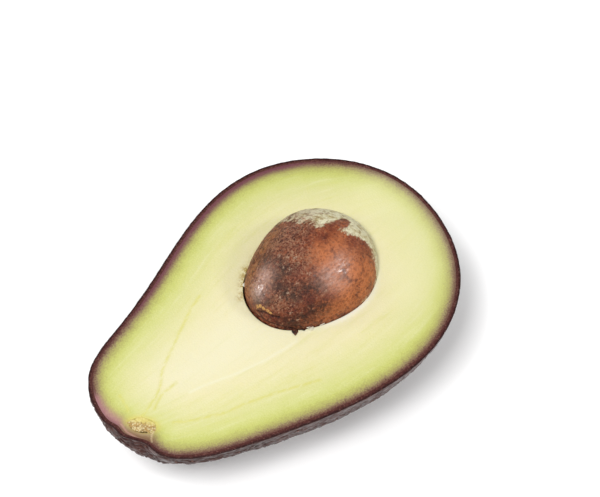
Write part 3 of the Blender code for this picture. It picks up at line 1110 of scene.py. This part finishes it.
# %% Finish and lumps of the cork
CORK = {"Lump size": 0.00070, "Lump height": 0.00040}
cork_finish, shader, place = new_finish("cork_finish", 0.75)
fine = grain(place, 0.0003, 3.0, 0.6)
feed(shader, "Base Color", layers(paint(240, 224, 172), (
    (rise(cells(place, 0.00060) + fine * 0.4, 0.45, 0.85), (196, 160, 96)),
    (rise(grain(place, 0.00055, 3.0, 0.7), 0.58, 0.66) * 0.85, (96, 64, 36)),
    (rise(mark(place, "side") + fine, 0.40, 1.15) * 0.80, (236, 222, 126)))))
feed(shader, "Normal", bump(fine, 0.0001, 0.7))


def cork_tree(material):
    geometry, place, size, tall = new_tree("cork_lumps", CORK)
    rough = grain(place, 0.0006, 3.0, 0.7) - 0.5
    lumps = (1.0 - rise(cells(place, size), 0.10, 0.65)) + rough * 0.8 - 0.35
    calm = named(place, "top") * (1.0 - rise(named(place, "side"), 0.0, 0.8) * 0.85)
    move = place.node("ShaderNodeCombineXYZ", None, {"Z": lumps * calm * tall})
    return end_tree(shifted(geometry, move), material)


stem_end.data = run_tree(stem_end, cork_tree(cork_finish), CORK)
settle(stem_end, "stem_end")

# %% [markdown]
# ## Fibres in the face
# A few fibres fan out from the stem. The knife bent them and left them a hair above the face. Each
# is a curve through the points of its line, and Geometry Nodes give it its thickness, which fades
# towards its far end.


# %% Fibres by Geometry Nodes
FIBRES = {"Thickness": 0.00014}
FIBRE_LIFT = -0.00010
FIBRE_STEPS = 90
FIBRE_SIDES = 7


def face_curve(name, lines, lift):
    """A curve object with one smooth run through each line of the face, in millimetres."""
    data = bpy.data.curves.new(name, "CURVE")
    data.dimensions = "3D"
    for line in lines:
        knots = np.array(line) * MM
        spots = np.column_stack([knots, np.zeros(len(knots))])
        spots[:, 2] = face_height(spots) + lift
        run = data.splines.new("BEZIER")
        run.bezier_points.add(len(spots) - 1)
        for knot, spot in zip(run.bezier_points, to_part(spots)):
            knot.co = spot
            knot.handle_left_type = knot.handle_right_type = "AUTO"
    return add_object(name, data)


def fibre_tree(material):
    geometry, place, thick = new_tree("fibres", FIBRES)
    even = geometry.node("GeometryNodeResampleCurve", None, {"Curve": geometry, "Count": FIBRE_STEPS})
    part = even.node("GeometryNodeSplineParameter", None, None, "Factor")
    radius = thick * (1.0 - part * 0.75) * (grain(place, 0.0015, 1.0) * 0.8 + 0.6)
    ring = even.node("GeometryNodeCurvePrimitiveCircle", None, {0: FIBRE_SIDES, 4: 1.0})
    tube = even.node("GeometryNodeCurveToMesh", None, {
        "Curve": even, "Profile Curve": ring, "Scale": radius, "Fill Caps": True})
    return end_tree(tube, material)


def plain_finish(name, roughness, shade, other, size, detail):
    """A finish whose colour wanders softly between two colours."""
    material, shader, place = new_finish(name, roughness)
    feed(shader, "Base Color", mix(grain(place, size, detail), paint(*shade), paint(*other)))
    return material


fibre_finish = plain_finish("fibre_finish", 0.45, (226, 222, 112), (242, 238, 158), 0.001, 2.0)
guide = face_curve("fibre_guide", FIBRE_LINES, FIBRE_LIFT)
fibres = add_object("flesh_fibres", run_tree(guide, fibre_tree(fibre_finish), FIBRES))
bpy.data.objects.remove(guide)
settle(fibres, None)

# %% [markdown]
# ## Torn bits round the stone
# When the halves were pulled apart, the stone's coat and the soft flesh tore at the edge of the bowl
# and left a few thin flaps there. Each is a flattened cone that bends up from its root to its tip.

# %% Flaps of coat and flesh
FLAP_SIDES = 14
FLAP_ROWS = 12
FLAP_THICKNESS = 0.00022
COAT_FLAPS = (
    ((51.8, -7.4), (49.9, -10.0), 2.1, 0.4), ((53.2, -8.6), (52.4, -10.4), 2.0, 0.5))
FLESH_FLAPS = (
    ((55.0, -8.6), (53.3, -10.7), 2.4, 1.1), ((49.9, 8.9), (48.9, 9.1), 1.5, 0.2),
    ((54.6, -9.6), (53.9, -11.6), 1.9, 0.7), ((56.9, -10.2), (57.5, -12.1), 2.6, 0.6))


def flap(root, tip, width, lift):
    """Closed rings along a thin pointed flap. All four values are in millimetres on the face."""
    root, run = np.array(root) * MM, (np.array(tip) - root) * MM
    side = np.array((-run[1], run[0])) / np.linalg.norm(run)
    turn = round_angles(FLAP_SIDES)
    rings = []
    for part in np.linspace(0.0, 1.0, FLAP_ROWS + 1):
        reach = math.sqrt(1.0 - part) * min(1.0, part * FLAP_ROWS) * (1.0 + 0.25 * math.sin(9.0 * part + 2.0))
        ring = root + run * part + side * (np.cos(turn) * reach * width / 2.0 * MM)[:, None]
        bend = lift * MM * part ** 1.5 + np.sin(turn) * reach * FLAP_THICKNESS / 2.0
        rings.append(np.column_stack([ring, bend]))
    points = np.array(rings)
    points[..., 2] += face_height(points)
    return points.reshape(-1, 3)


def flap_piece(name, flaps, material):
    """One piece from several flaps, each with the same rings."""
    points = np.concatenate([flap(*values) for values in flaps])
    one = ring_faces(FLAP_ROWS + 1, FLAP_SIDES)
    faces = np.concatenate([one + i * (FLAP_ROWS + 1) * FLAP_SIDES for i in range(len(flaps))])
    item = make_piece(name, points, faces)
    item.data.materials.append(material)
    return item


dry_finish, shader, place = new_finish("torn_coat_finish", 0.5)
patches = rise(grain(place, 0.0006, 3.0), 0.4, 0.7)
feed(shader, "Base Color", mix(patches, paint(30, 15, 10), paint(104, 62, 38)))
crumb_finish = plain_finish("torn_flesh_finish", 0.4, (246, 240, 206), (254, 250, 236), 0.0008, 2.0)
settle(flap_piece("coat_flaps", COAT_FLAPS, dry_finish), None)
settle(flap_piece("flesh_flaps", FLESH_FLAPS, crumb_finish), None)

# %% [markdown]
# ## Specks on the skin
# The skin breathes through small corky specks. They are scattered evenly but not regularly, so
# Geometry Nodes spread points that keep a distance from each other, and put a low dot on each.


# %% Specks by Geometry Nodes
SPECKS = {"Spacing": 0.0030, "Speck radius": 0.00028}
SPECK_DENSITY = 60000.0
SPECK_HEIGHT = 0.30
SPREAD_SEED = 4
SIZE_SEED = 9
OFF_FLOOR = 0.0012


def speck_tree(material):
    geometry, place, spacing, radius = new_tree("skin_specks", SPECKS)
    outside = place.math("LESS_THAN", named(place, "cut") + named(place, "inner"), 0.01)
    off_floor = place.math("GREATER_THAN", split(place)[2], OFF_FLOOR)
    spread = geometry.node("GeometryNodeDistributePointsOnFaces", {"distribute_method": "POISSON"}, {
        "Mesh": geometry, "Selection": outside * off_floor, 2: spacing, 3: SPECK_DENSITY, 6: SPREAD_SEED})
    turn = Wire(spread.tree, spread.socket.node.outputs["Rotation"])
    dot = geometry.node("GeometryNodeMeshIcoSphere", None, {0: 1.0, 1: 2})
    flat = dot.node("GeometryNodeTransform", None, {"Geometry": dot, "Scale": (1.0, 1.0, SPECK_HEIGHT)})
    size = geometry.node("FunctionNodeRandomValue", {"data_type": "FLOAT"}, {2: 0.5, 3: 1.4, 8: SIZE_SEED}, 1)
    copies = geometry.node("GeometryNodeInstanceOnPoints", None, {
        "Points": spread, "Instance": flat, "Rotation": turn, "Scale": size * radius})
    return end_tree(copies, material)


speck_finish = plain_finish("speck_finish", 0.5, (96, 56, 48), (150, 106, 92), 0.0006, 2.0)
specks = add_object("skin_specks", run_tree(skin, speck_tree(speck_finish), SPECKS))
settle(specks, None)

# %% [markdown]
# ## Sizes
# The boxes of the solids and of the dressed fruit are both printed. The dressed fruit has to
# stay as large as its solids.

# %% Keep both boxes
SEEN_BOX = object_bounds()
for label, box in (("cad", CAD_BOX), ("visual", SEEN_BOX)):
    print(label, [round(float(high - low) / MM, 2) for low, high in zip(*box)])
